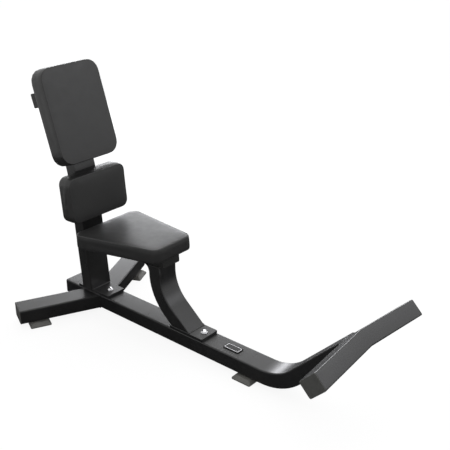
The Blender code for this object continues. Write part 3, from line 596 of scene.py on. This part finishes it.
def bolt_profile(shank, head, dome, length, top):
    """Rings of a domed bolt, tip first. The dome would end at height 0, and is cut at the radius top."""
    profile = [(shank / 2 - TIP_CHAMFER, -length), (shank / 2, TIP_CHAMFER - length), (shank / 2, -dome),
               (head / 2 - HEAD_CHAMFER, -dome), (head / 2, HEAD_CHAMFER - dome),
               (head / 2, HEAD_RIM - dome)]
    rise = dome - HEAD_RIM
    for ring in range(1, DOME_RINGS + 1):
        angle = math.pi / 2 * ring / DOME_RINGS
        radius = head / 2 * math.cos(angle)
        if radius < top:
            break
        profile.append((radius, rise * math.sin(angle) - rise))
    profile.append((top, rise * math.sqrt(1 - (2 * top / head) ** 2) - rise))
    return profile


def plain_bolt(length):
    """A dome-head bolt with a bright cap."""
    return turned(bolt_profile(FLANGE_BOLT, FLANGE_BOLT_HEAD, FLANGE_BOLT_DOME, length, DOME_TOP))


def socket_bolt(length):
    """A low dome-head bolt with a hexagonal socket."""
    profile = bolt_profile(PAD_BOLT, PAD_BOLT_HEAD, PAD_BOLT_DOME, length, SOCKET_RADIUS + SOCKET_LIP)
    lip = profile[-1][1]
    profile += [(SOCKET_RADIUS, lip - SOCKET_CHAMFER), (SOCKET_RADIUS, lip - SOCKET_DEPTH)]
    piece = turned(profile)
    for vert in piece.data.vertices:
        flat = Vector((vert.co.x, vert.co.y))
        if abs(flat.length - SOCKET_RADIUS) < SAME_PLACE:
            turn = math.atan2(flat.y, flat.x) % HEXAGON_SIDE - HEXAGON_SIDE / 2
            vert.co.xy = flat * math.cos(HEXAGON_SIDE / 2) / math.cos(turn)
    return piece


def set_bolts(pattern, nodes, direction, finish, slot):
    """Copies of one modelled bolt in place of the CAD's bolts, their heads in one direction."""
    model = pattern(head_frame(nodes[0], direction)[1])
    smooth(model, FASTENER_CREASE)
    for node in nodes:
        bolt = add_object(node + "_plated", model.data.copy())
        settle(bolt, head_frame(node, direction)[0])
        finish_piece(bolt, finish, slot, node)
    bpy.data.objects.remove(model)


def numbered(name, count):
    return [f"{name}_{number}" for number in range(1, count + 1)]


def finish_fasteners():
    seat_down = (math.sin(SEAT_TILT), 0, -math.cos(SEAT_TILT))
    lower_back = (-math.cos(LOWER_LEAN), 0, -math.sin(LOWER_LEAN))
    upper_back = (-math.cos(UPPER_LEAN), 0, -math.sin(UPPER_LEAN))
    foot_screws = [node for node in NODES if node.startswith(FEET) and "_screw_" in node]
    set_bolts(plain_bolt, numbered("flange_bolt", 3), (0, 0, 1), CHROME, "chrome")
    for nodes, direction in ((numbered("lower_back_bolt", 2), lower_back),
                             (numbered("upper_back_bolt", 2), upper_back),
                             (numbered("bracket_bolt", 2), upper_back),
                             (numbered("seat_screw", 4), seat_down),
                             (foot_screws, (0, 0, -1))):
        set_bolts(socket_bolt, nodes, direction, ZINC, "zinc")
    for node in NODES:
        if node.startswith("flange_washer"):
            finish_rounded(node + "_plated", node, RING_EDGE, FASTENER_CREASE, CHROME, "chrome")
        elif node.startswith("flange_nut"):
            finish_rounded(node + "_plated", node, RING_EDGE, FASTENER_CREASE, ZINC, "zinc")


# Badge

def rounded_plate(name, middle, length, width, corner, height):
    """A flat plate with round corners, its underside at the middle's height."""
    deselect()
    bpy.ops.mesh.primitive_plane_add(size=1, location=middle)
    plate = bpy.context.object
    plate.name = name
    plate.scale = (length, width, 1)
    settle(plate)
    edit(plate)
    bpy.ops.mesh.bevel(offset=corner, segments=CORNER_SEGMENTS, affect="VERTICES")
    bpy.ops.mesh.select_all(action="SELECT")
    bpy.ops.mesh.extrude_region_move(TRANSFORM_OT_translate={"value": (0, 0, height)})
    bpy.ops.mesh.select_all(action="SELECT")
    bpy.ops.mesh.normals_make_consistent(inside=False)
    close_edit()
    return plate


def sink_recess(plate):
    """Sink a recess in a plate's top, inside its rim."""
    edit(plate)
    bpy.ops.mesh.select_all(action="DESELECT")
    close_edit()
    top = max(vert.co.z for vert in plate.data.vertices)
    for face in plate.data.polygons:
        face.select = abs(face.center.z - top) < SAME_PLACE
    bpy.ops.object.mode_set(mode="EDIT")
    bpy.ops.mesh.inset(thickness=RIM_WIDTH)
    bpy.ops.mesh.extrude_region_move(TRANSFORM_OT_translate={"value": (0, 0, -RECESS_DEPTH)})
    close_edit()


def finish_badge():
    """Holder, bright rim and bare enamel field."""
    finish_rounded("badge_holder", "badge_plate", TRIM_EDGE, PLATE_CREASE, BADGE_BLACK, "badge_metal")
    low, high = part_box("badge_plate")
    middle = Vector(((low.x + high.x) / 2, 0, high.z - RECESS_DROP - RECESS_DEPTH))
    length, width = high.x - low.x - 2 * RIM_INSET, high.y - low.y - 2 * RIM_INSET
    rim = rounded_plate("badge_rim", middle, length, width, RIM_CORNER, RIM_HEIGHT)
    sink_recess(rim)
    round_edges(rim, TRIM_EDGE)
    smooth_flats(rim, PLATE_CREASE)
    finish_piece(rim, BADGE_RIM, "badge_metal")
    length, width = length - 2 * (RIM_WIDTH + FIELD_GAP), width - 2 * (RIM_WIDTH + FIELD_GAP)
    lifted = middle + Vector((0, 0, FIELD_LIFT))
    field = rounded_plate("badge_field", lifted, length, width, FIELD_CORNER, FIELD_HEIGHT)
    round_edges(field, ENAMEL_EDGE)
    smooth_flats(field, PLATE_CREASE)
    finish_piece(field, ENAMEL, "badge_metal")


# Cushions

def back_frame(node, lean):
    """Frame in the middle of a back board: Z out of it, Y up it."""
    low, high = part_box(node)
    up = Vector((-math.sin(lean), 0, math.cos(lean)))
    out = Vector((math.cos(lean), 0, math.sin(lean)))
    matrix = Matrix((up.cross(out), up, out)).transposed().to_4x4()
    matrix.translation = (low + high) / 2
    return matrix


def seat_frame():
    """Frame in the middle of the seat board: Z out of it, X forward along it."""
    low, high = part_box("seat_board")
    return Matrix.Translation((low + high) / 2) @ Matrix.Rotation(-SEAT_TILT, 4, "Y")


def wrapped_hull(name, nodes, matrix):
    """The hull round some nodes in their own frame, without their bolt holes."""
    piece = joined_copy(name, nodes)
    settle(piece, matrix.inverted())
    edit(piece)
    bpy.ops.mesh.convex_hull()
    bpy.ops.mesh.select_all(action="SELECT")
    bpy.ops.mesh.dissolve_limited(angle_limit=FLAT_WITHIN)
    close_edit()
    return piece


def half_sizes(piece):
    """How far a piece reaches from its middle, along and across."""
    return [max(abs(vert.co[axis]) for vert in piece.data.vertices) for axis in (0, 1)]


def extent(piece):
    """Lowest and highest place of a piece along each axis."""
    spots = [vert.co for vert in piece.data.vertices]
    return [(min(spot[axis] for spot in spots), max(spot[axis] for spot in spots)) for axis in range(3)]


def fit_to(piece, target):
    """Stretch a piece evenly along each axis to the given extent."""
    for axis, ((low, high), (start, end)) in enumerate(zip(extent(piece), target)):
        share = (end - start) / (high - low)
        for vert in piece.data.vertices:
            vert.co[axis] = start + (vert.co[axis] - low) * share


def slacken(piece, hold, top):
    """Take the cover in a little where nothing holds it, so that the stuffing can swell it."""
    reach = half_sizes(piece)
    for vert in piece.data.vertices:
        free = hold(vert.co)
        for axis in (0, 1):
            vert.co[axis] -= SLACK * free * vert.co[axis] / reach[axis]
        vert.co.z -= SLACK * free * max(0.0, vert.co.z / top)


def remesh(piece):
    """Cover a piece with even squares, as the simulation needs them."""
    piece.data.remesh_voxel_size = VOXEL
    piece.data.use_remesh_fix_poles = True
    piece.data.use_remesh_preserve_volume = True
    take(piece)
    bpy.ops.object.voxel_remesh()


def stuff(piece, hold):
    """Swell a cushion by simulation. What lies on its board keeps its place."""
    before = [vert.co.copy() for vert in piece.data.vertices]
    take(piece)
    cloth = piece.modifiers.new("stuffing", "CLOTH")
    cloth.settings.use_pressure = True
    cloth.settings.uniform_pressure_force = STUFFING_PRESSURE
    cloth.settings.effector_weights.gravity = 0
    cloth.point_cache.frame_end = STUFFING_FRAMES
    for number in range(1, STUFFING_FRAMES + 1):
        bpy.context.scene.frame_set(number)
    bpy.ops.object.modifier_apply(modifier=cloth.name)
    bpy.context.scene.frame_set(1)
    for vert, old in zip(piece.data.vertices, before):
        move = vert.co - old
        if move.length > STUFFING_GIVE:
            move = move.normalized() * STUFFING_GIVE
        vert.co = old + move * hold(old)


def flatten_crown(piece, top):
    """Stretch the cover over the foam, so that its face is flatter in the middle."""
    foot = top - CROWN
    for vert in piece.data.vertices:
        if vert.co.z > foot:
            vert.co.z = foot + (vert.co.z - foot) * CROWN_LEFT


def pinch_edge(piece):
    """Draw out the edge between the face and the sides, where the cover is pulled over the foam's edge."""
    normals = [vert.normal.copy() for vert in piece.data.vertices]
    for vert, normal in zip(piece.data.vertices, normals):
        turn = 2 * max(0.0, normal.z) * math.hypot(normal.x, normal.y)
        vert.co += normal * EDGE_PINCH * turn ** PINCH_SHARPNESS


def gather_corners(piece, rear, top):
    """Small pleats in the corners' sides, deepest behind, where the cover is pulled round the board."""
    normals = [vert.normal.copy() for vert in piece.data.vertices]
    for vert, normal in zip(piece.data.vertices, normals):
        corner = min(1.0, 4.0 * (normal.x * normal.y) ** 2)
        behind = max(0.0, 1.0 - (vert.co.z - rear) / (PLEAT_REACH * (top - rear)))
        wave = 0.5 + 0.5 * math.cos(PLEATS_PER_TURN * math.atan2(normal.y, normal.x))
        sideways = Vector((normal.x, normal.y, 0))
        vert.co -= sideways * PLEAT_DEPTH * corner * behind * wave


def make_upholstery(prefix, matrix, board):
    """Foam and cover of one cushion, wrapped round its board."""
    piece = wrapped_hull(prefix + "_upholstery", [prefix + "_cushion", prefix + "_board"], matrix)
    size = extent(piece)
    rear, top = size[2]

    def hold(place):
        """From 0 on the board, where the cover is held, to 1 where it is free."""
        share = (place.z - rear - board) / BOARD_HOLD
        return min(1.0, max(0.0, share))

    slacken(piece, hold, top)
    remesh(piece)
    stuff(piece, hold)
    apply_modifier(piece, "SUBSURF", levels=1, render_levels=1)
    flatten_crown(piece, top)
    pinch_edge(piece)
    gather_corners(piece, rear, top)
    wide = [(low - COVER_PROUD, high + COVER_PROUD) for low, high in size[:2]]
    fit_to(piece, wide + [(rear + BACK_STEP, top)])
    settle(piece, matrix)
    smooth(piece, NO_CREASE)
    finish_piece(piece, VINYL, "leatherette", prefix + "_cushion")


def make_backing(prefix, matrix, board):
    """Cover cloth behind the board, inside the margin of the wrapped vinyl."""
    piece = wrapped_hull(prefix + "_backing", [prefix + "_board"], matrix)
    reach = half_sizes(piece)
    for vert in piece.data.vertices:
        for axis in (0, 1):
            vert.co[axis] *= 1 - MARGIN_WIDTH / reach[axis]
        lift = CLOTH_SUNK if vert.co.z < 0 else CLOTH_SUNK + CLOTH_THICKNESS
        vert.co.z = lift - board / 2
    round_edges(piece, TRIM_EDGE)
    settle(piece, matrix)
    smooth_flats(piece, PLATE_CREASE)
    finish_piece(piece, COVER_CLOTH, "board", prefix + "_board")


def staple_model():
    deselect()
    bpy.ops.mesh.primitive_cube_add(size=1)
    staple = bpy.context.object
    staple.scale = STAPLE_SIZE
    settle(staple)
    round_edges(staple, TRIM_EDGE)
    smooth(staple, MOULDING_CREASE)
    return staple


def staple_line(prefix, matrix, board):
    """Places of the staples: an even row in the vinyl's margin behind the board."""
    outline = wrapped_hull(prefix + "_outline", [prefix + "_board"], matrix)
    shares = [1 - STAPLE_MARGIN / reach for reach in half_sizes(outline)]
    behind = [vert.co.copy() for vert in outline.data.vertices if vert.co.z < 0]
    bpy.data.objects.remove(outline)
    corners = [behind[index] for index in geometry.convex_hull_2d([spot.xy for spot in behind])]
    loop = [Vector((spot.x * shares[0], spot.y * shares[1], BACK_STEP - board / 2)) for spot in corners]
    return even_steps(loop, STAPLE_PITCH)


def make_staples(prefix, matrix, board, model):
    points = staple_line(prefix, matrix, board)
    staples = []
    for number, place in enumerate(points):
        along = points[(number + 1) % len(points)] - points[number - 1]
        staple = add_object(prefix + "_staples", model.data.copy())
        turn = Matrix.Rotation(math.atan2(along.y, along.x), 4, "Z")
        staple.matrix_world = Matrix.Translation(place) @ turn
        staples.append(staple)
    row = settle(join(staples))
    settle(row, matrix)
    finish_piece(row, ZINC, "zinc")


def make_cushions():
    staple = staple_model()
    for prefix, matrix, board in (("lower_back", back_frame("lower_back_board", LOWER_LEAN), BACK_BOARD),
                                  ("upper_back", back_frame("upper_back_board", UPPER_LEAN), BACK_BOARD),
                                  ("seat", seat_frame(), SEAT_BOARD)):
        make_upholstery(prefix, matrix, board)
        make_backing(prefix, matrix, board)
        make_staples(prefix, matrix, board, staple)
    bpy.data.objects.remove(staple)


# Studio

def by_ray(tree, bounced, seen):
    """One level where light bounces, and another where the camera, a gloss or a clear surface sees it."""
    ray = tree.nodes.new("ShaderNodeLightPath")
    looked_at = ray.outputs["Is Camera Ray"]
    for name in ("Is Glossy Ray", "Is Transmission Ray"):
        either = tree.nodes.new("ShaderNodeMath")
        either.operation = "MAXIMUM"
        tree.links.new(looked_at, either.inputs[0])
        tree.links.new(ray.outputs[name], either.inputs[1])
        looked_at = either.outputs[0]
    level = tree.nodes.new("ShaderNodeMapRange")
    tree.links.new(looked_at, level.inputs["Value"])
    level.inputs["To Min"].default_value = bounced
    level.inputs["To Max"].default_value = seen
    return level.outputs["Result"]


def matt_material(name, roughness):
    """A material without gloss for the studio."""
    material = bpy.data.materials.new(name)
    material.use_nodes = True
    shader = material.node_tree.nodes["Principled BSDF"]
    shader.inputs["Roughness"].default_value = roughness
    shader.inputs["Specular IOR Level"].default_value = 0.0
    return material, shader


def floor_finish():
    """White floor that keeps the bench's shadow. Where it is seen, most of its white is its own light."""
    material, shader = matt_material("studio_floor", 0.95)
    tree = material.node_tree
    shader.inputs["Emission Color"].default_value = (1, 1, 1, 1)
    tree.links.new(by_ray(tree, FLOOR_BOUNCE, FLOOR_SEEN), shader.inputs["Base Color"])
    tree.links.new(by_ray(tree, 0.0, FLOOR_LIFT), shader.inputs["Emission Strength"])
    return material


def make_floor():
    bpy.ops.mesh.primitive_plane_add(size=FLOOR_SIZE)
    floor = bpy.context.object
    floor.name = "studio_floor"
    floor.location.z = -FLOOR_DROP
    floor.data.materials.append(floor_finish())


def make_reflected_shadow_card():
    """A black card on the floor round the bench, which only reflections see: a painted shadow that darkens
    the floor where the steel's sides reflect it.
    """
    bpy.ops.mesh.primitive_plane_add(size=CARD_SIZE, location=(0, 0, CARD_LIFT))
    card = bpy.context.object
    card.name = "reflected_shadow_card"
    material, shader = matt_material("reflected_shadow_card", 1.0)
    shader.inputs["Base Color"].default_value = (REFLECTED_SHADOW_TONE, REFLECTED_SHADOW_TONE, REFLECTED_SHADOW_TONE, 1)
    card.data.materials.append(material)
    card.visible_camera = False
    card.visible_shadow = False
    card.visible_diffuse = False
    card.visible_transmission = False


def make_world():
    world = bpy.data.worlds.new("studio")
    bpy.context.scene.world = world
    world.use_nodes = True
    tree = world.node_tree
    background = tree.nodes["Background"]
    background.inputs["Color"].default_value = (1, 1, 1, 1)
    tree.links.new(by_ray(tree, SKY_LEVEL, SKY_SEEN), background.inputs["Strength"])


def softbox(name, place, aim, size, power):
    light = bpy.data.lights.new(name, "AREA")
    light.shape = "RECTANGLE"
    light.color = DAYLIGHT
    light.size, light.size_y = size
    light.energy = power
    item = add_object(name, light)
    item.location = place
    item.rotation_euler = (Vector(aim) - Vector(place)).to_track_quat("-Z", "Y").to_euler()
    item.visible_camera = False


def make_lights():
    """A wide soft light from above, a low softbox behind the seat and a high one on the far side."""
    light = bpy.data.lights.new("overhead_light", "SUN")
    light.energy = OVERHEAD_STRENGTH
    light.angle = OVERHEAD_WIDTH
    item = add_object("overhead_light", light)
    item.rotation_euler = Vector(OVERHEAD_FROM).to_track_quat("Z", "Y").to_euler()
    softbox("rear_softbox", REAR_SOFTBOX, REAR_SOFTBOX_AIM, REAR_SOFTBOX_SIZE, REAR_SOFTBOX_POWER)
    softbox("side_softbox", SIDE_SOFTBOX, SIDE_SOFTBOX_AIM, SIDE_SOFTBOX_SIZE, SIDE_SOFTBOX_POWER)


def make_camera():
    camera = bpy.data.cameras.new("camera")
    camera.lens = LENS
    camera.sensor_width = SENSOR
    camera.clip_end = FAR_CLIP
    item = add_object("camera", camera)
    item.location = CAMERA_PLACE
    item.rotation_euler = (CAMERA_AIM - CAMERA_PLACE).to_track_quat("-Z", "Y").to_euler()
    bpy.context.scene.camera = item
    bpy.context.scene.view_settings.view_transform = "Standard"


make_camera()
finish_tubes()
finish_plates()
finish_mouldings()
make_welds()
finish_fasteners()
finish_badge()
make_cushions()
make_floor()
make_world()
make_lights()
make_reflected_shadow_card()
